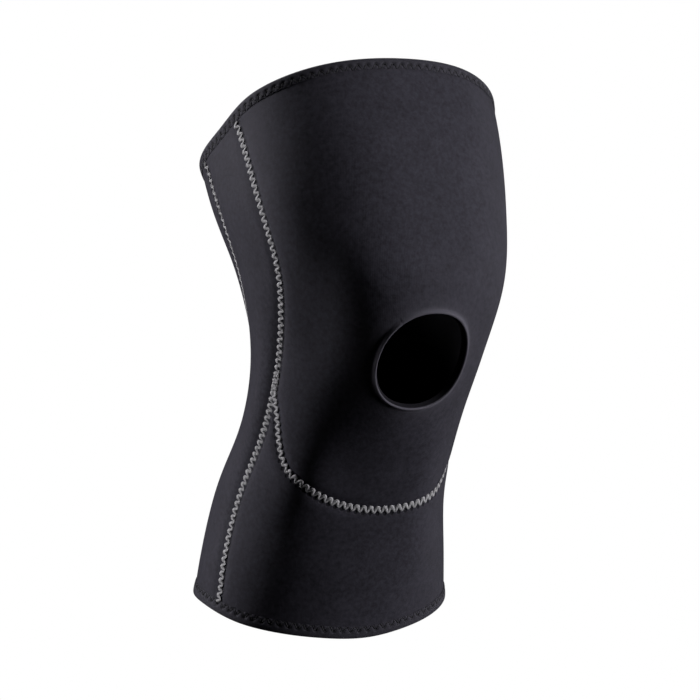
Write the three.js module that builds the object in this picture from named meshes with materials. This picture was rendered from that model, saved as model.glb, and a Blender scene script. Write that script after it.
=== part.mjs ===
// An open-patella knee sleeve in the form it takes on a slightly bent leg: neoprene panels butted edge to
// edge, with a hole for the kneecap and a folded binding tape round the thigh hem and the calf hem.
// Millimetres, +Z up. The origin is the middle of the knee hollow, half a millimetre above the level of
// the kneecap opening's centre. The kneecap faces -Y. The cut is the same on the left and the right;
// the leg's own swells and hollows make the form differ by a few millimetres.
import * as THREE from "three";

// Driving sizes
const kneeWidth = 112; // side to side, level with the origin
const kneeDepth = 124; // front to back at that level
const thighReach = 150; // from the origin up to the front of the thigh hem
const calfReach = 150; // and down to the front of the calf hem
const wall = 3; // neoprene with jersey on both faces
const panelGap = 0.4; // between two butted panels
const openingWidth = 49.4;
const openingHeight = 48.6; // its rise in height: the slanted wall makes it longer along the cloth
const openingAside = -0.8; // how far its centre is from the leg's middle
const openingBelow = 0.5; // and how far below the origin
const openingSquareness = 2.2; // 2 is a plain ellipse
const tape = 0.8; // binding tape's thickness
const tapeClearance = 0.3; // between the tape and the wall that it wraps
const thighTapeDepth = 6.5; // how far the tape reaches over the wall
const calfTapeDepth = 7.5;

// The leg's form, section by section. Level is a share of thighReach above the origin and of calfReach
// below it. Width is a share of kneeWidth; depth and forward, which is how far the section's middle
// stands towards the kneecap, are shares of kneeDepth. Squareness 2 is an ellipse.
const SECTIONS = [
  { level: -1.0, width: 1.275, depth: 0.89, forward: -0.3, squareness: 2.1 },
  { level: -0.75, width: 1.2, depth: 0.984, forward: -0.254, squareness: 2.0 },
  { level: -0.5, width: 1.067, depth: 0.974, forward: -0.184, squareness: 2.15 },
  { level: -0.25, width: 0.97, depth: 0.934, forward: 0.002, squareness: 2.3 },
  { level: 0.0, width: 1.0, depth: 1.0, forward: 0.142, squareness: 2.4 },
  { level: 0.25, width: 1.147, depth: 1.119, forward: 0.181, squareness: 2.4 },
  { level: 0.5, width: 1.335, depth: 1.206, forward: 0.074, squareness: 2.2 },
  { level: 0.75, width: 1.415, depth: 1.249, forward: -0.038, squareness: 2.15 },
  { level: 1.0, width: 1.45, depth: 1.246, forward: -0.177, squareness: 2.1 },
];

// What muscle and bone add to that form or take from it. Angle is measured from the kneecap, positive
// towards +X. Turn and rise are how far a swell fades out to either side, in degrees and in levels.
// Height is a share of kneeWidth, and a hollow's is negative.
const SWELLS = [
  { what: "kneecap", angle: -3.8, level: -0.09, turn: 21, rise: 0.242, height: 0.046 },
  { what: "beside the kneecap", angle: -52.5, level: 0.185, turn: 18.7, rise: 0.27, height: -0.044 },
  { what: "knee's outer side", angle: -93.7, level: -0.09, turn: 10.6, rise: 0.43, height: 0.035 },
  { what: "knee's inner side", angle: 93.7, level: -0.09, turn: 10.6, rise: 0.43, height: 0.035 },
  { what: "foot of the thigh muscle", angle: -57, level: 0.436, turn: 12.6, rise: 0.168, height: 0.027 },
  { what: "above the kneecap", angle: 3, level: 0.69, turn: 27.3, rise: 0.425, height: -0.038 },
  { what: "side of the thigh", angle: -81, level: 0.85, turn: 26, rise: 0.25, height: -0.049 },
  { what: "head of the shin bone", angle: 22.7, level: -0.557, turn: 16.9, rise: 0.225, height: 0.04 },
  { what: "beside the shin bone", angle: -21.4, level: -0.423, turn: 24.7, rise: 0.295, height: -0.031 },
  { what: "head of the calf bone", angle: -41.2, level: -0.437, turn: 14.4, rise: 0.127, height: 0.034 },
];

// Where the two hems run round the leg: angle from the kneecap, and levels as in SECTIONS. The first and
// the last row lie past the back and repeat a row there, to keep the curve smooth.
const HEMS = [
  { angle: -210, thigh: 0.574, calf: -0.84 },
  { angle: -180, thigh: 0.563, calf: -0.8 },
  { angle: -150, thigh: 0.574, calf: -0.84 },
  { angle: -120, thigh: 0.636, calf: -0.877 },
  { angle: -90, thigh: 0.749, calf: -0.894 },
  { angle: -60, thigh: 0.886, calf: -0.95 },
  { angle: -30, thigh: 0.976, calf: -0.986 },
  { angle: 0, thigh: 1.0, calf: -1.0 },
  { angle: 30, thigh: 0.974, calf: -0.974 },
  { angle: 60, thigh: 0.88, calf: -0.932 },
  { angle: 90, thigh: 0.749, calf: -0.888 },
  { angle: 120, thigh: 0.636, calf: -0.875 },
  { angle: 150, thigh: 0.574, calf: -0.84 },
  { angle: 180, thigh: 0.563, calf: -0.8 },
  { angle: 210, thigh: 0.574, calf: -0.84 },
];

// The seams that run from hem to hem: level, and angle from the kneecap to either side
const SIDE_SEAM = [
  { level: -1.0, angle: 76 },
  { level: -0.75, angle: 79.1 },
  { level: -0.4, angle: 79.9 },
  { level: -0.12, angle: 80.2 },
  { level: 0.1, angle: 77.2 },
  { level: 0.36, angle: 69.5 },
  { level: 0.5, angle: 68 },
  { level: 0.65, angle: 70.5 },
  { level: 0.8, angle: 74 },
  { level: 1.0, angle: 76.5 },
];
const REAR_SEAM = [
  { level: -1.0, angle: 128 },
  { level: -0.6, angle: 135 },
  { level: -0.3, angle: 137 },
  { level: 0.0, angle: 129 },
  { level: 0.28, angle: 113.4 },
  { level: 0.45, angle: 102 },
  { level: 0.65, angle: 104.3 },
  { level: 1.0, angle: 107 },
];

// The rounded foot of the knee panel: share of the way from the middle to the side seam, and level
const KNEE_PANEL_FOOT = [
  { share: -0.2, level: -0.524 },
  { share: 0.0, level: -0.537 },
  { share: 0.2, level: -0.524 },
  { share: 0.4, level: -0.487 },
  { share: 0.55, level: -0.434 },
  { share: 0.7, level: -0.38 },
  { share: 0.83, level: -0.292 },
  { share: 0.92, level: -0.197 },
  { share: 1.0, level: -0.125 },
  { share: 1.15, level: 0.02 },
];

// Facets
const kneePanelColumns = 24;
const kneePanelRows = 22;
const shinRows = 6;
const sideColumns = 8;
const backColumns = 26;
const sideAndBackRows = 22; // the same for both, so that their facets meet along the rear seams
const hemSteps = 72;
const openingRings = 3;
// The rows and columns of the knee panel that make way for the opening's rings, counted from its edges
const openingBlock = { columnsOutside: 6, rowsBelow: 4, rowsAbove: 10 };
const closeEnough = 12; // steps of a search that settles on a place

// Smooth curve through a table's rows, read in one named column at a place along another
function readTable(table, along, column, place) {
  const last = table.length - 1;
  let i = 0;
  while (i < last - 1 && table[i + 1][along] < place) i += 1;
  const slope = (k) => {
    const before = table[Math.max(k - 1, 0)];
    const after = table[Math.min(k + 1, last)];
    return (after[column] - before[column]) / (after[along] - before[along]);
  };
  const span = table[i + 1][along] - table[i][along];
  const t = (place - table[i][along]) / span;
  return (
    (2 * t ** 3 - 3 * t ** 2 + 1) * table[i][column] +
    (t ** 3 - 2 * t ** 2 + t) * span * slope(i) +
    (3 * t ** 2 - 2 * t ** 3) * table[i + 1][column] +
    (t ** 3 - t ** 2) * span * slope(i + 1)
  );
}

const levelOf = (height) => height / (height > 0 ? thighReach : calfReach);
const heightOf = (level) => level * (level > 0 ? thighReach : calfReach);
const radians = THREE.MathUtils.degToRad;

// Half the width, half the depth, and the middle's place of the leg's section at one height
function section(height) {
  const level = levelOf(height);
  return {
    halfWidth: (readTable(SECTIONS, "level", "width", level) * kneeWidth) / 2,
    halfDepth: (readTable(SECTIONS, "level", "depth", level) * kneeDepth) / 2,
    middle: -readTable(SECTIONS, "level", "forward", level) * kneeDepth,
    squareness: readTable(SECTIONS, "level", "squareness", level),
  };
}

// How far the swells push the sleeve out at an angle and a height
function swell(angle, height) {
  const level = levelOf(height);
  let out = 0;
  for (const row of SWELLS) {
    const aside = THREE.MathUtils.euclideanModulo(angle - row.angle + 180, 360) - 180;
    out += row.height * Math.exp(-((aside / row.turn) ** 2) - ((level - row.level) / row.rise) ** 2);
  }
  return out * kneeWidth;
}

// How far the sleeve's outer face is from the section's middle at an angle and a height
function reachAt(angle, height) {
  const { halfWidth, halfDepth, squareness } = section(height);
  const across = Math.abs(Math.sin(radians(angle))) / halfWidth;
  const ahead = Math.abs(Math.cos(radians(angle))) / halfDepth;
  return (across ** squareness + ahead ** squareness) ** (-1 / squareness) + swell(angle, height);
}

// A point on the sleeve's outer face: angle in degrees from the kneecap, positive towards +X
function onForm(angle, height) {
  const reach = reachAt(angle, height);
  const ahead = reach * Math.cos(radians(angle));
  return new THREE.Vector3(reach * Math.sin(radians(angle)), section(height).middle - ahead, height);
}

// The outer face's normal, from two points half a degree and a small share of the knee to either side
function outward(angle, height) {
  const turn = 0.5;
  const rise = kneeWidth / 200;
  const round = onForm(angle + turn, height).sub(onForm(angle - turn, height));
  const up = onForm(angle, height + rise).sub(onForm(angle, height - rise));
  return round.cross(up).normalize();
}

// The angle and height of the form's point that lies straight out from the leg's middle through a point
function placeOf(point) {
  const angle = Math.atan2(point.x, section(point.z).middle - point.y);
  return { angle: THREE.MathUtils.radToDeg(angle), height: point.z };
}

// The angle of the form's point on the front that lies a distance x to the side, at one height
function angleToSide(x, height) {
  let angle = 0;
  for (let i = 0; i < closeEnough; i += 1) {
    angle = THREE.MathUtils.radToDeg(Math.asin(x / reachAt(angle, height)));
  }
  return angle;
}

// A hem's height at an angle; edge is "thigh" or "calf"
function hemHeight(edge, angle) {
  const turned = THREE.MathUtils.euclideanModulo(angle + 180, 360) - 180;
  return heightOf(readTable(HEMS, "angle", edge, turned));
}

const hemPoint = (edge, angle) => onForm(angle, hemHeight(edge, angle));
const intoSleeve = (edge) => (edge === "thigh" ? -1 : 1);

// The wall stops short of the hem by the tape that folds over it, measured square to the hem
function wallEnd(edge, angle) {
  const [from, to] = [hemPoint(edge, angle - 1), hemPoint(edge, angle + 1)];
  const lean = from.distanceTo(to) / Math.hypot(to.x - from.x, to.y - from.y);
  return hemHeight(edge, angle) + intoSleeve(edge) * (tape + tapeClearance) * lean;
}

const sideSeam = (height) => readTable(SIDE_SEAM, "level", "angle", levelOf(height));
const rearSeam = (height) => readTable(REAR_SEAM, "level", "angle", levelOf(height));
const kneePanelFoot = (share) =>
  heightOf(readTable(KNEE_PANEL_FOOT, "share", "level", Math.abs(share)));

// Where a line that keeps its share of the way between two seams meets the end of the wall
function wallCrossing(edge, angleAt) {
  let height = wallEnd(edge, 0);
  for (let i = 0; i < closeEnough; i += 1) height = wallEnd(edge, angleAt(height));
  return height;
}

// A grid of places on the form. angleAt gives a column's angle at a height; foot and head its two ends.
function gridOf(columns, rows, angleAt, foot, head) {
  const places = [];
  for (let i = 0; i <= columns; i += 1) {
    const share = i / columns;
    const [low, high] = [foot(share), head(share)];
    for (let j = 0; j <= rows; j += 1) {
      const height = THREE.MathUtils.lerp(low, high, j / rows);
      places.push({ angle: angleAt(share, height), height });
    }
  }
  const at = (i, j) => i * (rows + 1) + j;
  const cells = [];
  for (let i = 0; i < columns; i += 1)
    for (let j = 0; j < rows; j += 1)
      cells.push([at(i, j), at(i + 1, j), at(i + 1, j + 1), at(i, j + 1)]);
  return { places, cells, at };
}

// The edges that belong to one cell only, as a map from each one's start to its end
function openEdges(cells) {
  const edges = cells.flatMap((cell) => cell.map((from, k) => [from, cell[(k + 1) % cell.length]]));
  const known = new Set(edges.map(([from, to]) => `${from} ${to}`));
  return new Map(edges.filter(([from, to]) => !known.has(`${to} ${from}`)));
}

function closedMesh(positions, index) {
  const geometry = new THREE.BufferGeometry();
  geometry.setAttribute("position", new THREE.Float32BufferAttribute(positions, 3));
  geometry.setIndex(index);
  return geometry;
}

// A panel of neoprene over a grid of places: cut back all round by half the gap between panels, and
// given the wall's thickness inwards
function panel({ places, cells }) {
  const outer = places.map(({ angle, height }) => onForm(angle, height));
  const normals = places.map(({ angle, height }) => outward(angle, height));
  const next = openEdges(cells);
  const previous = new Map([...next].map(([from, to]) => [to, from]));
  const cut = new Map();
  for (const [here, to] of next) {
    const inwards = (from, end) =>
      normals[here].clone().cross(outer[end].clone().sub(outer[from])).normalize();
    const [before, after] = [inwards(previous.get(here), here), inwards(here, to)];
    const mitre = panelGap / 2 / (1 + before.dot(after));
    cut.set(here, before.add(after).multiplyScalar(mitre));
  }
  cut.forEach((shift, k) => outer[k].add(shift));
  const inner = outer.map((point, k) => point.clone().addScaledVector(normals[k], -wall));

  const used = new Map();
  cells.flat().forEach((k) => used.has(k) || used.set(k, used.size));
  const count = used.size;
  const positions = [];
  for (const side of [outer, inner])
    for (const k of used.keys()) positions.push(...side[k].toArray());
  const index = [];
  const quad = (a, b, c, d) => index.push(a, b, c, a, c, d);
  for (const cell of cells) {
    const [a, b, c, d] = cell.map((k) => used.get(k));
    quad(a, b, c, d);
    quad(d + count, c + count, b + count, a + count);
  }
  for (const [from, to] of next) {
    const [a, b] = [used.get(from), used.get(to)];
    quad(b, a, a + count, b + count);
  }
  return closedMesh(positions, index);
}

// A panel's columns count from 0 to 1; across the leg's front they stand from -1 to 1
const across = (share) => 2 * share - 1;
const frontAngle = (share, height) => across(share) * sideSeam(height);

// The opening's edge, on the line from its centre to a point of the panel
function openingRim(point) {
  // The cut back at the rim gives the opening its full size
  const [halfWidth, halfHeight] = [(openingWidth - panelGap) / 2, (openingHeight - panelGap) / 2];
  const [aside, above] = [point.x - openingAside, point.z + openingBelow];
  const reach =
    (Math.abs(aside / halfWidth) ** openingSquareness +
      Math.abs(above / halfHeight) ** openingSquareness) **
    (-1 / openingSquareness);
  return { x: openingAside + aside * reach, z: above * reach - openingBelow };
}

// The knee panel's grid, with rings of cells round the kneecap opening in place of its middle block
function kneePanelGrid() {
  const { places, cells: whole, at } = gridOf(
    kneePanelColumns,
    kneePanelRows,
    frontAngle,
    (share) => kneePanelFoot(across(share)),
    (share) => wallCrossing("thigh", (height) => frontAngle(share, height)),
  );
  const [left, right] = [openingBlock.columnsOutside, kneePanelColumns - openingBlock.columnsOutside];
  const [low, high] = [openingBlock.rowsBelow, kneePanelRows - openingBlock.rowsAbove];
  const cells = whole.filter((_, n) => {
    const [i, j] = [Math.floor(n / kneePanelRows), n % kneePanelRows];
    return i < left || i >= right || j < low || j >= high;
  });
  const frame = [];
  for (let i = left; i < right; i += 1) frame.push(at(i, low));
  for (let j = low; j < high; j += 1) frame.push(at(right, j));
  for (let i = right; i > left; i -= 1) frame.push(at(i, high));
  for (let j = high; j > low; j -= 1) frame.push(at(left, j));

  const edge = frame.map((k) => onForm(places[k].angle, places[k].height));
  const rim = edge.map(openingRim);
  let outer = frame;
  for (let ring = openingRings - 1; ring >= 0; ring -= 1) {
    const inner = frame.map((_, k) => {
      const x = THREE.MathUtils.lerp(rim[k].x, edge[k].x, ring / openingRings);
      const height = THREE.MathUtils.lerp(rim[k].z, edge[k].z, ring / openingRings);
      return places.push({ angle: angleToSide(x, height), height }) - 1;
    });
    for (let n = 0; n < frame.length; n += 1) {
      const after = (n + 1) % frame.length;
      cells.push([outer[n], outer[after], inner[after], inner[n]]);
    }
    outer = inner;
  }
  return { places, cells };
}

// Below the knee panel's foot, between the side seams
function shinPanelGrid() {
  return gridOf(
    kneePanelColumns,
    shinRows,
    frontAngle,
    (share) => wallCrossing("calf", (height) => frontAngle(share, height)),
    (share) => kneePanelFoot(across(share)),
  );
}

// Between a side seam and a rear seam; side is 1 towards +X and -1 towards -X
function sidePanelGrid(side) {
  const angleAt = (share, height) => {
    const t = side > 0 ? share : 1 - share;
    return side * THREE.MathUtils.lerp(sideSeam(height), rearSeam(height), t);
  };
  return gridOf(
    sideColumns,
    sideAndBackRows,
    angleAt,
    (share) => wallCrossing("calf", (height) => angleAt(share, height)),
    (share) => wallCrossing("thigh", (height) => angleAt(share, height)),
  );
}

// Behind the knee, between the rear seams
function backPanelGrid() {
  const angleAt = (share, height) => 180 + across(share) * (180 - rearSeam(height));
  return gridOf(
    backColumns,
    sideAndBackRows,
    angleAt,
    (share) => wallCrossing("calf", (height) => angleAt(share, height)),
    (share) => wallCrossing("thigh", (height) => angleAt(share, height)),
  );
}

// A tape folded over a hem: one closed loop of a U-shaped section that follows the form
function binding(edge, depth) {
  const fold = 2 * tape; // the outside of the fold is rounded off by this much
  const outside = tapeClearance + tape;
  const inside = -(wall + tapeClearance + tape);
  // How far in from the hem, and how far out from the form
  const profile = [
    [depth, outside],
    [fold, outside],
    [fold / 4, outside - fold / 4],
    [0, outside - fold],
    [0, inside + fold],
    [fold / 4, inside + fold / 4],
    [fold, inside],
    [depth, inside],
    [depth, inside + tape],
    [tape, inside + tape],
    [tape, tapeClearance],
    [depth, tapeClearance],
  ];
  const step = 360 / hemSteps;
  const positions = [];
  for (let i = 0; i < hemSteps; i += 1) {
    const angle = i * step;
    const hem = hemPoint(edge, angle);
    const along = hemPoint(edge, angle + step / 2).sub(hemPoint(edge, angle - step / 2));
    const into = outward(angle, hem.z).cross(along).normalize().multiplyScalar(intoSleeve(edge));
    for (const [deep, out] of profile) {
      const place = placeOf(hem.clone().addScaledVector(into, deep));
      const point = onForm(place.angle, place.height);
      positions.push(...point.addScaledVector(outward(place.angle, place.height), out).toArray());
    }
  }
  const index = [];
  const around = profile.length;
  for (let i = 0; i < hemSteps; i += 1)
    for (let k = 0; k < around; k += 1) {
      const [a, b] = [i * around + k, i * around + ((k + 1) % around)];
      const [c, d] = [a, b].map((n) => (n + around) % (hemSteps * around));
      if (intoSleeve(edge) < 0) index.push(a, c, b, b, c, d);
      else index.push(a, b, c, b, d, c);
    }
  return closedMesh(positions, index);
}

const neoprene = new THREE.MeshStandardMaterial({ color: 0x2b2b30, roughness: 0.85, metalness: 0 });
const bindingTape = new THREE.MeshStandardMaterial({ color: 0x232326, roughness: 0.9, metalness: 0 });

function piece(name, geometry, material) {
  const flat = geometry.toNonIndexed();
  flat.computeVertexNormals();
  const mesh = new THREE.Mesh(flat, material);
  mesh.name = name;
  return mesh;
}

const sleeve = new THREE.Group();
sleeve.add(
  piece("knee_panel", panel(kneePanelGrid()), neoprene),
  piece("shin_panel", panel(shinPanelGrid()), neoprene),
  piece("side_panel_left", panel(sidePanelGrid(-1)), neoprene),
  piece("side_panel_right", panel(sidePanelGrid(1)), neoprene),
  piece("back_panel", panel(backPanelGrid()), neoprene),
  piece("thigh_binding", binding("thigh", thighTapeDepth), bindingTape),
  piece("calf_binding", binding("calf", calfTapeDepth), bindingTape),
);

export default sleeve;
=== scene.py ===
import math

import bmesh
import bpy
import numpy as np
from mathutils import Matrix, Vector
from mathutils.bvhtree import BVHTree
from mathutils.kdtree import KDTree


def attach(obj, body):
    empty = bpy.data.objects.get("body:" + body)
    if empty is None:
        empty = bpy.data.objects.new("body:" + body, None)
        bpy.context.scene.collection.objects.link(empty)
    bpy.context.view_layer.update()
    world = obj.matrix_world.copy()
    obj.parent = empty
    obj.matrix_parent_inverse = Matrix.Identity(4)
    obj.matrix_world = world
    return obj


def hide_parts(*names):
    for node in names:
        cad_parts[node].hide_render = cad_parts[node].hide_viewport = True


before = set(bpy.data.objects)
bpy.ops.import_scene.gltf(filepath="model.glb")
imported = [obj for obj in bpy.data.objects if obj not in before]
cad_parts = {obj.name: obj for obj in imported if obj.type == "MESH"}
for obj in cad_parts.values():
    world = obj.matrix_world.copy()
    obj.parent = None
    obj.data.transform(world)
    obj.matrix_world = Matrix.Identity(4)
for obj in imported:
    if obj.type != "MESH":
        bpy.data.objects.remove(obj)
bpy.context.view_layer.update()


# Camera
# It stands 1.2 m from the knee, 28 degrees to one side of the kneecap and just above it, behind a long
# lens that gives 0.526 mm of the sleeve to a pixel.
photo_azimuth, photo_elevation = math.radians(-28), math.radians(4)
photo_distance = 1.2
pixel_size, picture_pixels = 0.000526, 700
sensor_width = 36
to_camera = Vector((
    math.sin(photo_azimuth) * math.cos(photo_elevation),
    -math.cos(photo_azimuth) * math.cos(photo_elevation),
    math.sin(photo_elevation),
))
bpy.ops.object.camera_add(
    location=to_camera * photo_distance,
    rotation=(-to_camera).to_track_quat("-Z", "Y").to_euler(),
)
camera = bpy.context.object
camera.data.sensor_width = sensor_width
camera.data.lens = sensor_width * (photo_distance / pixel_size) / picture_pixels
bpy.context.scene.camera = camera


# Studio
# Soft boxes light the sleeve from its sides, a little behind on the left, so that a dark band runs down its
# front. The floor and the air behind are plain white, and cast no light on it.
floor_height = -0.17


def soft_box(turn, rise, distance, width, height, power):
    """A soft box that faces the knee. Turn is in degrees from the camera, positive to its right."""
    azimuth, elevation = photo_azimuth + math.radians(turn), math.radians(rise)
    away = Vector((
        math.sin(azimuth) * math.cos(elevation),
        -math.cos(azimuth) * math.cos(elevation),
        math.sin(elevation),
    ))
    bpy.ops.object.light_add(
        type="AREA",
        location=away * distance,
        rotation=(-away).to_track_quat("-Z", "Y").to_euler(),
    )
    box = bpy.context.object
    box.data.shape = "RECTANGLE"
    box.data.size, box.data.size_y = width, height
    box.data.energy = power
    box.visible_camera = False


bpy.context.scene.view_settings.view_transform = "Standard"  # plain photographic greys
soft_box(turn=-101, rise=28, distance=1.5, width=0.4, height=0.8, power=13)
soft_box(turn=-95, rise=-3, distance=1.5, width=0.35, height=1.4, power=10.5)
soft_box(turn=74, rise=0, distance=1.5, width=0.35, height=1.4, power=27)
soft_box(turn=80, rise=-30, distance=1.5, width=0.35, height=0.8, power=2.2)
soft_box(turn=60, rise=65, distance=1.5, width=0.8, height=0.8, power=2.5)
soft_box(turn=125, rise=0, distance=1.5, width=0.35, height=1.4, power=2.5)

world = bpy.data.worlds.new("white_air")
bpy.context.scene.world = world
world.use_nodes = True
world.node_tree.nodes["Background"].inputs["Color"].default_value = (1, 1, 1, 1)
world.node_tree.nodes["Background"].inputs["Strength"].default_value = 1
world.cycles_visibility.diffuse = False
world.cycles_visibility.glossy = False
world.cycles_visibility.transmission = False

bpy.ops.mesh.primitive_circle_add(
    vertices=96, radius=12, fill_type="NGON", location=(0, 0, floor_height)
)
floor = bpy.context.object
floor.name = "studio_floor"
floor_white = bpy.data.materials.new("pale_floor")
floor_white.use_nodes = True
floor_shader = floor_white.node_tree.nodes["Principled BSDF"]
floor_shader.inputs["Base Color"].default_value = (0.0, 0.0, 0.0, 1)
floor_shader.inputs["Emission Color"].default_value = (1, 1, 1, 1)
floor_shader.inputs["Emission Strength"].default_value = 1
floor_shader.inputs["Specular IOR Level"].default_value = 0
floor.data.materials.append(floor_white)
floor.visible_diffuse = False
floor.visible_glossy = False


# Side panels, left and right
# Each is a strip of 3 mm neoprene foam with nylon jersey on both faces, cut between the side seam and the
# rear seam. Its edges butt against the next panels and are drawn down a little by the stitching.
cloth_thickness = 0.003
panel_gap = 0.0004  # what the CAD model leaves between two panels; the real ones touch
same_place = 1e-6  # CAD corners closer than this are one
outer_face_cosine = 0.7  # a CAD face that turns further from straight out is an edge or the inside
corner_bend = math.radians(38)  # where an outline bends more than this, one of its runs ends
smoothing_loss = 0.00016  # how far the smoothing draws a sheet in
edge_row = 0.0003  # a narrow row of faces along each edge keeps it crisp
seam_pitch = 0.0038
seam_dip, seam_dip_width = 0.0011, 0.0038
seam_step = 0.0005
under_the_tape = 0.005  # how far the bindings cover the seams that run from hem to hem
hem_to_hem = 0.2  # a seam taller than this is one of those
needle_holes = 0.0024  # from the middle of the seam, on one side only
hole_core, hole_edge = 0.0006, 0.0012
groove_shade_core, groove_shade_edge = 0.0006, 0.0024
knit_ribs, knit_rows = 720, 0.00052  # ribs round the leg, and the height of a row
knit_middle = 0.01  # how far back the line stands that the ribs are counted round
jersey_black = (0.030, 0.0284, 0.0385)
# the kneecap lip's pale colour: partly the sealed edge's own tone, partly a painted highlight
pale_lip_highlight_grey = (0.15, 0.143, 0.175)
cool_gloss = (0.86, 0.82, 1.0, 1)

# The leg's middle line: height, and how far back it stands
leg_middle = ([-0.15, -0.075, 0.0, 0.075, 0.15], [0.038, 0.023, -0.016, -0.009, 0.023])


def only_select(piece):
    bpy.ops.object.select_all(action="DESELECT")
    piece.select_set(True)
    bpy.context.view_layer.objects.active = piece


def apply_modifiers(piece):
    only_select(piece)
    for modifier in list(piece.modifiers):
        bpy.ops.object.modifier_apply(modifier=modifier.name)


def welded_copy(node, name):
    """A copy of a CAD piece with its triangles joined up, left in edit mode with all of it selected."""
    piece = bpy.data.objects.new(name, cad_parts[node].data.copy())
    bpy.context.scene.collection.objects.link(piece)
    piece.data.materials.clear()
    only_select(piece)
    bpy.ops.object.mode_set(mode="EDIT")
    bpy.ops.mesh.select_mode(type="FACE")
    bpy.ops.mesh.select_all(action="SELECT")
    bpy.ops.mesh.remove_doubles(threshold=same_place)
    return piece


def triangles_to_quads():
    bpy.ops.mesh.select_all(action="SELECT")
    bpy.ops.mesh.tris_convert_to_quads(
        face_threshold=math.radians(60), shape_threshold=math.radians(70)
    )


def open_sheet(node, name):
    """A CAD panel's outer face as a smooth sheet of quads, its edges let out to meet the next panel's."""
    sheet = welded_copy(node, name)
    bpy.ops.mesh.select_all(action="DESELECT")
    shape = bmesh.from_edit_mesh(sheet.data)
    shape.normal_update()
    for face in shape.faces:
        centre = face.calc_center_median()
        away = Vector((centre.x, centre.y - np.interp(centre.z, *leg_middle), 0)).normalized()
        face.select_set(face.normal.dot(away) < outer_face_cosine)
    bmesh.update_edit_mesh(sheet.data)
    bpy.ops.mesh.delete(type="FACE")
    triangles_to_quads()

    shape = bmesh.from_edit_mesh(sheet.data)
    shape.normal_update()
    outward = {}
    for edge in shape.edges:
        if edge.is_boundary:
            loop = edge.link_loops[0]
            start, end = loop.vert, loop.link_loop_next.vert
            away = (end.co - start.co).cross(loop.face.normal).normalized()
            for vertex in (start, end):
                outward.setdefault(vertex, []).append(away)
    for vertex, (one, other) in outward.items():
        vertex.co += (one + other) * (panel_gap / 2 / (1 + one.dot(other)))
    bmesh.update_edit_mesh(sheet.data)
    bpy.ops.object.mode_set(mode="OBJECT")

    smoothing = sheet.modifiers.new("smooth", "SUBSURF")
    smoothing.levels = smoothing.render_levels = 3
    smoothing.boundary_smooth = "PRESERVE_CORNERS"
    apply_modifiers(sheet)
    normals = [vertex.normal.copy() for vertex in sheet.data.vertices]
    for vertex, normal in zip(sheet.data.vertices, normals):
        vertex.co += normal * smoothing_loss

    bpy.ops.object.mode_set(mode="EDIT")
    bpy.ops.mesh.select_all(action="SELECT")
    bpy.ops.mesh.inset(thickness=edge_row, use_boundary=True, use_even_offset=True)
    bpy.ops.object.mode_set(mode="OBJECT")
    return sheet


def borders(sheet):
    """The outline of a sheet, cut at its corners: runs of (place, normal), each as two arrays."""
    shape = bmesh.new()
    shape.from_mesh(sheet.data)
    shape.normal_update()
    after = {}
    for edge in shape.edges:
        if edge.is_boundary:
            loop = edge.link_loops[0]
            after[loop.vert] = loop.link_loop_next.vert
    runs = []
    while after:
        ring = [next(iter(after))]
        while after[ring[-1]] is not ring[0]:
            ring.append(after[ring[-1]])
        for vertex in ring:
            del after[vertex]
        count = len(ring)

        def turn(k):
            back, here, ahead = ring[k - 1].co, ring[k].co, ring[(k + 1) % count].co
            return (here - back).angle(ahead - here)

        corners = [k for k in range(count) if turn(k) > corner_bend]
        for n, k in enumerate(corners):
            end = corners[(n + 1) % len(corners)]
            length = (end - k) % count or count
            run = [ring[(k + i) % count] for i in range(length + 1)]
            runs.append((np.array([v.co for v in run]), np.array([v.normal for v in run])))
    shape.free()
    return runs


def distances(places):
    """How far along a line each of its places is."""
    return np.concatenate([[0], np.cumsum(np.linalg.norm(np.diff(places, axis=0), axis=1))])


def read_at(at, along, rows):
    """The rows that belong to distances along a line, read between its own."""
    return np.stack([np.interp(at, along, rows[:, i]) for i in range(3)], axis=1)


def evenly(run, step):
    """Even distances along a run, with the places and normals there."""
    places, normals = run
    along = distances(places)
    at = np.arange(0, along[-1], step)
    place, normal = read_at(at, along, places), read_at(at, along, normals)
    return at, place, normal / np.linalg.norm(normal, axis=1)[:, None]


def search_tree(places):
    """A tree that finds the nearest of some places."""
    tree = KDTree(len(places))
    for k, place in enumerate(places):
        tree.insert(place, k)
    tree.balance()
    return tree


def dip_along(run, at):
    """How deep a seam is drawn down at distances along it. A seam from hem to hem fades out at both hems."""
    if np.ptp(run[0][:, 2]) < hem_to_hem:
        return np.full(len(at), seam_dip)
    return seam_dip * np.clip(np.minimum(at, at[-1] - at) / under_the_tape - 1, 0, 1)


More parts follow.
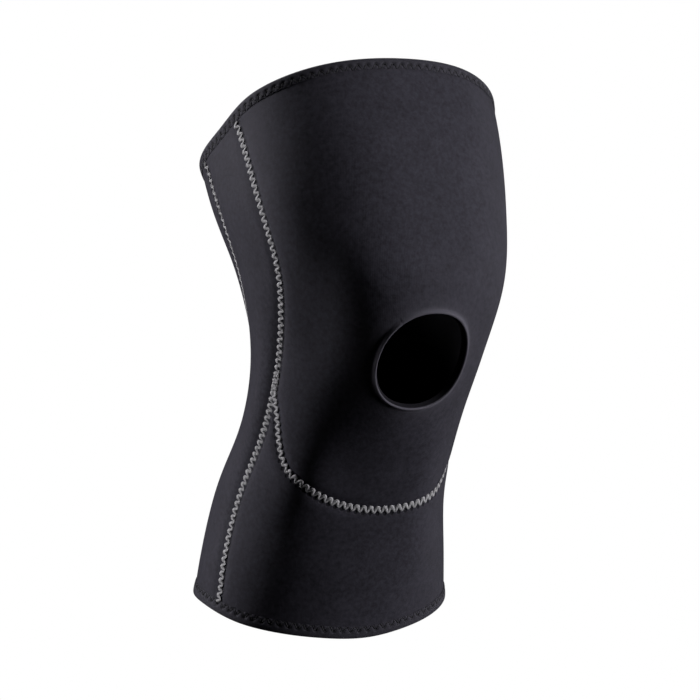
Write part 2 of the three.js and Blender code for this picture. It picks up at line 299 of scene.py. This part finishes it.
def make_cloth(sheet, seams, lip=None):
    """Gives a sheet its thickness, draws its sewn edges down and raises the lip of a hole in it. Marks each
    place for the finish: its distance along and beside the nearest seam, and 0 on the face, 1 inside."""
    count = len(sheet.data.vertices)
    normals = [v.normal.copy() for v in sheet.data.vertices]
    thick = sheet.modifiers.new("thick", "SOLIDIFY")
    thick.thickness = cloth_thickness
    thick.offset = -1
    apply_modifiers(sheet)

    points = []
    for run in seams:
        at, place, normal = evenly(run, seam_step)
        points += zip(at, place, normal, dip_along(run, at))
    tree = search_tree([point[1] for point in points])
    along = np.zeros(len(sheet.data.vertices), np.float32)
    aside = np.zeros(len(sheet.data.vertices), np.float32)
    dip = np.zeros(len(sheet.data.vertices))
    for vertex in sheet.data.vertices:
        place, k, distance = tree.find(vertex.co)
        ahead = points[min(k + 1, len(points) - 1)][1] - points[max(k - 1, 0)][1]
        across = np.cross(points[k][2], ahead)
        side = 1 if np.dot(np.array(vertex.co) - points[k][1], across) > 0 else -1
        along[vertex.index] = points[k][0]
        aside[vertex.index] = side * distance
        dip[vertex.index] = points[k][3] * math.exp(-((distance / seam_dip_width) ** 2))
    through = np.ones(len(sheet.data.vertices), np.float32)
    through[:count] = 0
    marks = {"seam_along": along, "seam_aside": aside, "through_cloth": through}
    for name, values in marks.items():
        sheet.data.attributes.new(name, "FLOAT", "POINT").data.foreach_set("value", values)

    for k in range(count):
        vertex = sheet.data.vertices[k]
        out = -dip[k]
        if lip is not None:
            out += lip(vertex.co)
        vertex.co += normals[k] * out
    only_select(sheet)
    bpy.ops.object.shade_smooth_by_angle(angle=math.radians(50))
    return sheet


class Wire:
    """A node's output. Sums of wires add the Math nodes that work them out."""

    def __init__(self, tree, socket=None):
        self.tree, self.socket = tree, socket

    def node(self, kind, settings, sockets, out=0):
        """A new node: its settings first, then the values or wires of its sockets; gives its output."""
        made = self.tree.nodes.new(kind)
        for name, value in settings.items():
            setattr(made, name, value)
        for name, value in sockets.items():
            if isinstance(value, Wire):
                self.tree.links.new(value.socket, made.inputs[name])
            else:
                made.inputs[name].default_value = value
        return Wire(self.tree, made.outputs[out])

    def maths(self, operation, *values):
        return self.node("ShaderNodeMath", {"operation": operation}, dict(enumerate(values)))

    def __add__(self, other):
        return self.maths("ADD", self, other)

    def __sub__(self, other):
        return self.maths("SUBTRACT", self, other)

    def __mul__(self, other):
        return self.maths("MULTIPLY", self, other)

    def __truediv__(self, other):
        return self.maths("DIVIDE", self, other)

    def __pow__(self, other):
        return self.maths("POWER", self, other)

    def __abs__(self):
        return self.maths("ABSOLUTE", self)

    def fades(self, full, none):
        """1 where this is at full, 0 where it is at none, smooth between."""
        return self.node(
            "ShaderNodeMapRange",
            {"interpolation_type": "SMOOTHSTEP"},
            {"Value": self, "From Min": none, "From Max": full, "To Min": 0.0, "To Max": 1.0},
        )

    def feeds(self, socket):
        self.tree.links.new(self.socket, socket)


def new_finish(name):
    """A material, its shader, and a wire to start from."""
    material = bpy.data.materials.new(name)
    material.use_nodes = True
    return material, material.node_tree.nodes["Principled BSDF"], Wire(material.node_tree)


def speckle(start, scale, detail=3.0, roughness=0.6):
    place = start.node("ShaderNodeTexCoord", {}, {}, "Object")
    return start.node(
        "ShaderNodeTexNoise",
        {},
        {"Vector": place, "Scale": scale, "Detail": detail, "Roughness": roughness},
        "Fac",
    )


def blend(start, factor, one, other, kind="MIX"):
    """Two colours, each a wire or a tuple, mixed by a factor."""
    one, other = (colour if isinstance(colour, Wire) else (*colour, 1) for colour in (one, other))
    return start.node(
        "ShaderNodeMix",
        {"data_type": "RGBA", "blend_type": kind},
        {0: factor, 6: one, 7: other},
        2,
    )


def jersey_finish():
    """Black nylon jersey: fine ribs of knit, a mottled surface, small pits beside the seam threads with
    painted shade in them and along the seam's groove, a lip round the kneecap opening painted paler, partly
    as its own tone and partly as a painted highlight, and painted shade on the inside, with the cut edge as
    dark as its black foam."""
    material, shader, start = new_finish("black_jersey")
    place = start.node("ShaderNodeTexCoord", {}, {}, "Object")
    split = start.node("ShaderNodeSeparateXYZ", {}, {"Vector": place}, "X")
    x, y, z = (Wire(start.tree, split.socket.node.outputs[k]) for k in range(3))
    round_leg = start.maths("ARCTAN2", x, y * -1 + knit_middle)
    rib = start.maths("SINE", round_leg * knit_ribs)
    loop = start.maths("SINE", z * (2 * math.pi / knit_rows) + rib * 1.1)
    knit = rib * 0.5 + loop * 0.5

    mottle = speckle(start, 420, 4, 0.65)
    cloud = speckle(start, 60, 2, 0.5)
    along = start.node("ShaderNodeAttribute", {"attribute_name": "seam_along"}, {}, "Fac")
    aside = start.node("ShaderNodeAttribute", {"attribute_name": "seam_aside"}, {}, "Fac")
    # painted shade in pits beside the thread, on one side of the seam; the bump below also dents them
    step = start.maths("FRACT", along / seam_pitch + 0.25) - 0.5
    beyond = aside + needle_holes
    shaded_pit = start.maths("SQRT", (step * seam_pitch) ** 2 + beyond ** 2).fades(hole_core, hole_edge)
    # painted shade along the seam's groove, under and beside the thread
    near = abs(aside).fades(groove_shade_core, groove_shade_edge)
    lip_paleness_and_highlight = start.node("ShaderNodeAttribute", {"attribute_name": "lip_pale_and_highlight"}, {}, "Fac")
    through = start.node("ShaderNodeAttribute", {"attribute_name": "through_cloth"}, {}, "Fac")
    inside = through.fades(0.25, 0.05)

    light = (mottle - 0.5) * 1.8 + (cloud - 0.5) * 0.5 + 0.5
    colour = blend(
        start, light, [c * 0.35 for c in jersey_black], [c * 1.65 for c in jersey_black]
    )
    # painted highlight: the lip and a halo round the opening are made paler, partly as the sealed edge's own
    # tone
    colour = blend(start, lip_paleness_and_highlight, colour, pale_lip_highlight_grey)
    # painted shade: the cloth is darkened in the pits and a little along the groove
    colour = blend(start, shaded_pit * 0.9 + near * 0.1, colour, (0.05, 0.05, 0.06), "MULTIPLY")
    # painted shade: the inside face, the same jersey as the outside, is made ten times darker; the cut
    # edges, black foam, take the same dark colour
    blend(start, inside, colour, [c * 0.1 for c in jersey_black]).feeds(shader.inputs["Base Color"])
    (mottle * 0.2 + inside * 0.25 + 0.62).feeds(shader.inputs["Roughness"])
    shader.inputs["Specular IOR Level"].default_value = 0.3
    shader.inputs["Specular Tint"].default_value = cool_gloss
    shader.inputs["Sheen Weight"].default_value = 0.08
    shader.inputs["Sheen Roughness"].default_value = 0.5
    shader.inputs["Sheen Tint"].default_value = cool_gloss
    height = knit * 0.16 + mottle * 0.9 - shaded_pit * 2.5
    bump = start.node(
        "ShaderNodeBump", {}, {"Height": height, "Strength": 0.5, "Distance": 0.0002}, "Normal"
    )
    bump.feeds(shader.inputs["Normal"])
    return material


black_jersey = jersey_finish()
side_seams, rear_seams = {}, {}
for side in ("left", "right"):
    panel = open_sheet(f"side_panel_{side}", f"side_panel_{side}_cloth")
    long_runs = sorted(borders(panel), key=lambda run: -np.ptp(run[0][:, 2]))[:2]
    side_seams[side], rear_seams[side] = sorted(long_runs, key=lambda run: run[0][:, 1].mean())
    make_cloth(panel, [side_seams[side], rear_seams[side]])
    panel.data.materials.append(black_jersey)
    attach(panel, "root")
    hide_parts(f"side_panel_{side}")


# Shin panel
# The front below the knee, of the same cloth. Its upper edge is hollowed to take the knee panel's rounded
# foot.
shin_panel = open_sheet("shin_panel", "shin_panel_cloth")
foot_seam = max(borders(shin_panel), key=lambda run: run[0][:, 2].mean())
foot_seam = [row[::-1] for row in foot_seam]  # so that the stitch bulks on the knee panel's side
make_cloth(shin_panel, [side_seams["left"], side_seams["right"], foot_seam])
shin_panel.data.materials.append(black_jersey)
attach(shin_panel, "root")
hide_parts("shin_panel")


# Knee panel
# The thigh and the knee's front in one cut, of the same cloth, with a hole for the kneecap. The hole's cut
# edge is sealed and stands up as a low rounded lip. The lip is painted paler than the rest: partly the
# sealed edge's own paler tone, partly a painted highlight, which spreads as a fainter painted highlight
# round the hole.
lip_height, lip_width, lip_radius = 0.0011, 0.0024, 0.0005
pale_and_highlight_halo = ((0.7, 0.0021), (0.16, 0.008))  # how much paler it is painted, as the sealed edge's tone and as painted highlight, and how far out
hole_reach = 0.032  # from the knee's middle: all of the hole's edge, and no other edge, is nearer
knee_panel = open_sheet("knee_panel", "knee_panel_cloth")


def hole_rim(sheet):
    """The places along the kneecap opening's edge."""
    shape = bmesh.new()
    shape.from_mesh(sheet.data)
    rim = [
        vertex.co.copy()
        for vertex in shape.verts
        if vertex.is_boundary and math.hypot(vertex.co.x, vertex.co.z) < hole_reach
    ]
    shape.free()
    return rim


rim_tree = search_tree(hole_rim(knee_panel))


def raised_lip(place):
    """How far the cloth stands out at a place near the kneecap opening."""
    from_rim = rim_tree.find(place)[2]
    fall = min(max((from_rim - lip_radius) / (lip_width - lip_radius), 0), 1)
    raised = lip_height * (1 - fall * fall * (3 - 2 * fall))
    inside = max(lip_radius - from_rim, 0)
    return raised - lip_radius + math.sqrt(lip_radius ** 2 - inside ** 2)


make_cloth(knee_panel, [side_seams["left"], side_seams["right"], foot_seam], raised_lip)
# How pale the cloth is painted near the opening: partly the sealed edge's own tone, partly a painted
# highlight.
from_rim = np.array([rim_tree.find(vertex.co)[2] for vertex in knee_panel.data.vertices])
lip_paleness_and_highlight = sum(amount * np.exp(-((from_rim / reach) ** 2)) for amount, reach in pale_and_highlight_halo)
knee_panel.data.attributes.new("lip_pale_and_highlight", "FLOAT", "POINT").data.foreach_set("value", lip_paleness_and_highlight)
knee_panel.data.materials.append(black_jersey)
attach(knee_panel, "root")
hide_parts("knee_panel")


# Back panel
# The piece behind the knee and the thigh, of the same cloth, between the two rear seams.
back_panel = open_sheet("back_panel", "back_panel_cloth")
make_cloth(back_panel, [rear_seams["left"], rear_seams["right"]])
back_panel.data.materials.append(black_jersey)
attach(back_panel, "root")
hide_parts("back_panel")


# Seam threads
# Light grey textured polyester, in a wide zigzag stitch that joins two butted edges, on the face and on the
# inside, where it is black. It bulks up on one panel and is pulled thin on the other.
thin_radius, bulk_radius = 0.0006, 0.00125
thread_flatness = 0.4
thread_reach, thread_shift = 0.0015, -0.0001  # how far it swings, about a middle beside the seam
thread_lift = 0.0001
seam_places = 12  # the thread's places in one stitch
overrun, overrun_lift = 0.012, 0.00025  # the foot seam's thread runs on over the side seams
thread_black = (0.03, 0.029, 0.036)
thread_grey = (0.45, 0.44, 0.465)


def thread_finish(name, thread_colour):
    material, shader, start = new_finish(name)
    fuzz = speckle(start, 2600, 3, 0.7)
    blend(
        start, fuzz * 1.2 - 0.1, [c * 0.6 for c in thread_colour], [c * 1.3 for c in thread_colour]
    ).feeds(shader.inputs["Base Color"])
    shader.inputs["Roughness"].default_value = 0.7
    shader.inputs["Specular IOR Level"].default_value = 0.35
    shader.inputs["Sheen Weight"].default_value = 0.1
    start.node(
        "ShaderNodeBump", {}, {"Height": fuzz, "Strength": 0.6, "Distance": 0.00015}, "Normal"
    ).feeds(shader.inputs["Normal"])
    return material


def thread_along(name, line, radius, closed):
    """A thread along a line of places, as a mesh tube. Its radius is a number, or one for each place."""
    curve = bpy.data.curves.new(name, "CURVE")
    curve.dimensions = "3D"
    curve.bevel_depth = 0.001
    curve.bevel_resolution = 1
    curve.use_fill_caps = not closed
    spline = curve.splines.new("POLY")
    spline.use_cyclic_u = closed
    spline.points.add(len(line) - 1)
    spline.points.foreach_set("co", np.column_stack([line, np.ones(len(line))]).ravel())
    spline.points.foreach_set("radius", np.ones(len(line)) * radius / curve.bevel_depth)
    thread = bpy.data.objects.new(name, curve)
    bpy.context.scene.collection.objects.link(thread)
    only_select(thread)
    bpy.ops.object.convert(target="MESH")
    thread = bpy.context.object
    bpy.ops.object.shade_smooth()
    return thread


def run_on(run, seam):
    """A run carried on from its last place, up along another seam."""
    place, normal = run
    seam_place, seam_normal = seam
    start = np.linalg.norm(seam_place - place[-1], axis=1).argmin()
    order = 1 if seam_place[-1, 2] > seam_place[0, 2] else -1
    ahead, ahead_normal = (row[start + order :: order] for row in (seam_place, seam_normal))
    near = np.linalg.norm(ahead - place[-1], axis=1) < overrun
    return np.vstack([place, ahead[near]]), np.vstack([normal, ahead_normal[near]])


def seam_zigzag(name, run, hidden, lift):
    """A seam's thread: it swings to either side of a run, and leaves out what is hidden at both ends."""
    at, place, normal = evenly(run, seam_pitch / seam_places)
    across = np.cross(normal, np.gradient(place, axis=0))
    across /= np.linalg.norm(across, axis=1)[:, None]
    swing = np.sin(2 * math.pi * at / seam_pitch)
    aside = thread_reach * swing + thread_shift
    height = lift - dip_along(run, at) * np.exp(-((aside / seam_dip_width) ** 2))
    line = place + across * aside[:, None] + normal * height[:, None]
    radius = thin_radius + (bulk_radius - thin_radius) * (0.5 + 0.5 * swing)
    kept = (at >= hidden) & (at <= at[-1] - hidden)
    line, normal = line[kept], normal[kept]
    thread = thread_along(name, line, radius[kept], closed=False)
    middle = search_tree(line)
    for vertex in thread.data.vertices:
        point, k, _ = middle.find(vertex.co)
        up = Vector(normal[k])
        vertex.co -= up * (up.dot(vertex.co - point) * (1 - thread_flatness))
    return thread


grey_thread = thread_finish("grey_seam_thread", thread_grey)
black_thread = thread_finish("black_thread", thread_black)
foot_run = foot_seam
for _ in range(2):  # each turn carries one end on and reverses the run, so that the other end is next
    far_end = foot_run[0][-1]
    beside = min(side_seams.values(), key=lambda seam: np.linalg.norm(seam[0] - far_end, axis=1).min())
    foot_run = [row[::-1] for row in run_on(foot_run, beside)]
seam_runs = {
    "side_seam_left": (side_seams["left"], under_the_tape, thread_lift),
    "side_seam_right": (side_seams["right"], under_the_tape, thread_lift),
    "rear_seam_left": (rear_seams["left"], under_the_tape, thread_lift),
    "rear_seam_right": (rear_seams["right"], under_the_tape, thread_lift),
    "foot_seam": (foot_run, 0, overrun_lift),
}
for name, ((place, normal), hidden, lift) in seam_runs.items():
    inner_run = (place - normal * cloth_thickness, -normal)
    for face, run in (("outer", (place, normal)), ("inner", inner_run)):
        thread = seam_zigzag(f"{name}_{face}_thread", run, hidden, lift)
        thread.data.materials.append(grey_thread if face == "outer" else black_thread)
        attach(thread, "root")
        "seam_thread" if face == "outer" else "hem_thread"


# Bindings
# A knitted nylon tape, folded over each hem and held by a row of zigzag stitches in black thread. The
# stitches draw it down, so that it puffs up between them, and hold its margins flat on the cloth.
tape_black = (0.034, 0.0325, 0.042)
stitch_pitch = 0.0048
stitch_middle, stitch_swing = 0.0016, 0.0014  # from the tape's margin
stitch_dip, stitch_dip_width = 0.0004, 0.0007
pit_depth, pit_width = 0.0004, 0.0007  # where the thread goes into the tape
stitch_reach = 0.002  # the tape further off than this stays as it is
same_face_cosine = 0.3  # so that a row of stitches works on its own side of the tape only
stitch_radius = 0.00024
stitch_stand = 0.6  # how far the thread's middle stands out of the drawn-down tape, in radii
stitch_places = 14  # the thread's places in one stitch
margin_press, under_press = 0.6, 0.3  # how far its two faces move to the cloth, in thicknesses
front_strip = (0.002, 0.01)  # where the margins are looked for: how far from x = 0, and up to which y


def tape_finish():
    material, shader, start = new_finish("black_tape")
    weave = speckle(start, 1300, 3, 0.6)
    cloud = speckle(start, 160, 2, 0.5)
    shaded_pit = start.node("ShaderNodeAttribute", {"attribute_name": "stitch_pit_shade"}, {}, "Fac")
    tone = weave * 1.2 + cloud * 0.8 - 0.5
    colour = blend(start, tone, [c * 0.5 for c in tape_black], [c * 1.5 for c in tape_black])
    # painted shade: the tape is darkened to black in the pits where the thread goes in
    blend(start, shaded_pit * 0.9, colour, (0.0, 0.0, 0.0)).feeds(shader.inputs["Base Color"])
    (weave * 0.2 + 0.6).feeds(shader.inputs["Roughness"])
    shader.inputs["Specular IOR Level"].default_value = 0.3
    shader.inputs["Specular Tint"].default_value = cool_gloss
    shader.inputs["Sheen Weight"].default_value = 0.1
    shader.inputs["Sheen Tint"].default_value = cool_gloss
    start.node(
        "ShaderNodeBump", {}, {"Height": weave, "Strength": 0.5, "Distance": 0.0002}, "Normal"
    ).feeds(shader.inputs["Normal"])
    return material


def tape_row(corner):
    """The closed row of a tape's corners, round the hem, that one corner belongs to."""
    edge = max(corner.link_edges, key=lambda edge: abs(edge.other_vert(corner).co.x - corner.co.x))
    row = [corner]
    while edge.other_vert(row[-1]) != corner:
        row.append(edge.other_vert(row[-1]))
        behind = set(edge.link_faces)
        edge = next(edge for edge in row[-1].link_edges if not behind & set(edge.link_faces))
    return row


def flatten_margin(corner):
    """Presses the margin that a corner belongs to against the cloth. Gives the margin's places, and for each
    one the way across the tape to the fold."""
    places, across = [], []
    row = tape_row(corner)
    for corner in row:
        beside = [edge.other_vert(corner) for edge in corner.link_edges]
        beside = [other for other in beside if other not in row]
        under, fold = sorted(beside, key=lambda other: (other.co - corner.co).length)
        down = under.co - corner.co
        corner.co += down * margin_press
        under.co += down * under_press
        places.append(np.array(corner.co))
        across.append(np.array((fold.co - corner.co).normalized()))
    return np.array(places), np.array(across)


def hem_stitches(name, tape, places, across):
    """A zigzag of thread on a tape, beside one of its margins. It draws the tape down and pits it, and marks
    the pits for painted shade.
    """
    around, beside = np.vstack([places, places[:1]]), np.vstack([across, across[:1]])
    along = distances(around)
    count = round(along[-1] / stitch_pitch)
    at = np.linspace(0, along[-1], count * stitch_places, endpoint=False)
    place, way = read_at(at, along, around), read_at(at, along, beside)
    swing = np.cos(2 * math.pi * count * at / along[-1])
    line = place + way * (stitch_middle + stitch_swing * swing)[:, None]
    surface = BVHTree.FromPolygons(
        [vertex.co for vertex in tape.data.vertices],
        [polygon.vertices for polygon in tape.data.polygons],
    )
    hits = [surface.find_nearest(point) for point in line]
    normals = np.array([hit[1] for hit in hits])
    line = np.array([hit[0] for hit in hits])

    stitched, pitted = search_tree(line), search_tree(line[:: stitch_places // 2])
    pit_shades = tape.data.attributes["stitch_pit_shade"].data
    for vertex, normal in [(v, v.normal.copy()) for v in tape.data.vertices]:
        _, k, distance = stitched.find(vertex.co)
        if distance < stitch_reach and np.dot(normals[k], normal) > same_face_cosine:
            shaded_pit = math.exp(-((pitted.find(vertex.co)[2] / pit_width) ** 2))
            dip = stitch_dip * math.exp(-((distance / stitch_dip_width) ** 2)) + pit_depth * shaded_pit
            vertex.co -= normal * dip
            pit_shades[vertex.index].value = max(pit_shades[vertex.index].value, shaded_pit)
    sunk = stitch_dip + pit_depth * swing ** 8 - stitch_radius * stitch_stand
    return thread_along(name, line - normals * sunk[:, None], stitch_radius, closed=True)


black_tape = tape_finish()
for edge, into_sleeve, flat in (("thigh", -1, (0.0175, 0.49)), ("calf", 1, (0.0195, 0.4))):
    node = f"{edge}_binding"
    tape = welded_copy(node, f"{node}_tape")
    triangles_to_quads()
    shape = bmesh.from_edit_mesh(tape.data)
    front = [v for v in shape.verts if abs(v.co.x) < front_strip[0] and v.co.y < front_strip[1]]
    deepest = sorted(front, key=lambda v: v.co.z * into_sleeve)[-4:]
    margins = {
        "outer": flatten_margin(min(deepest, key=lambda v: v.co.y)),
        "inner": flatten_margin(max(deepest, key=lambda v: v.co.y)),
    }
    bmesh.update_edit_mesh(tape.data)
    bpy.ops.object.mode_set(mode="OBJECT")
    rounding = tape.modifiers.new("rounded", "SUBSURF")
    rounding.levels = rounding.render_levels = 3
    apply_modifiers(tape)
    tape.data.attributes.new("stitch_pit_shade", "FLOAT", "POINT")
    for face, (places, across) in margins.items():
        thread = hem_stitches(f"{edge}_hem_{face}_stitches", tape, places, across)
        thread.data.materials.append(black_thread)
        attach(thread, "root")
    only_select(tape)
    bpy.ops.object.shade_smooth()
    tape.data.materials.append(black_tape)
    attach(tape, "root")
    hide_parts(node)
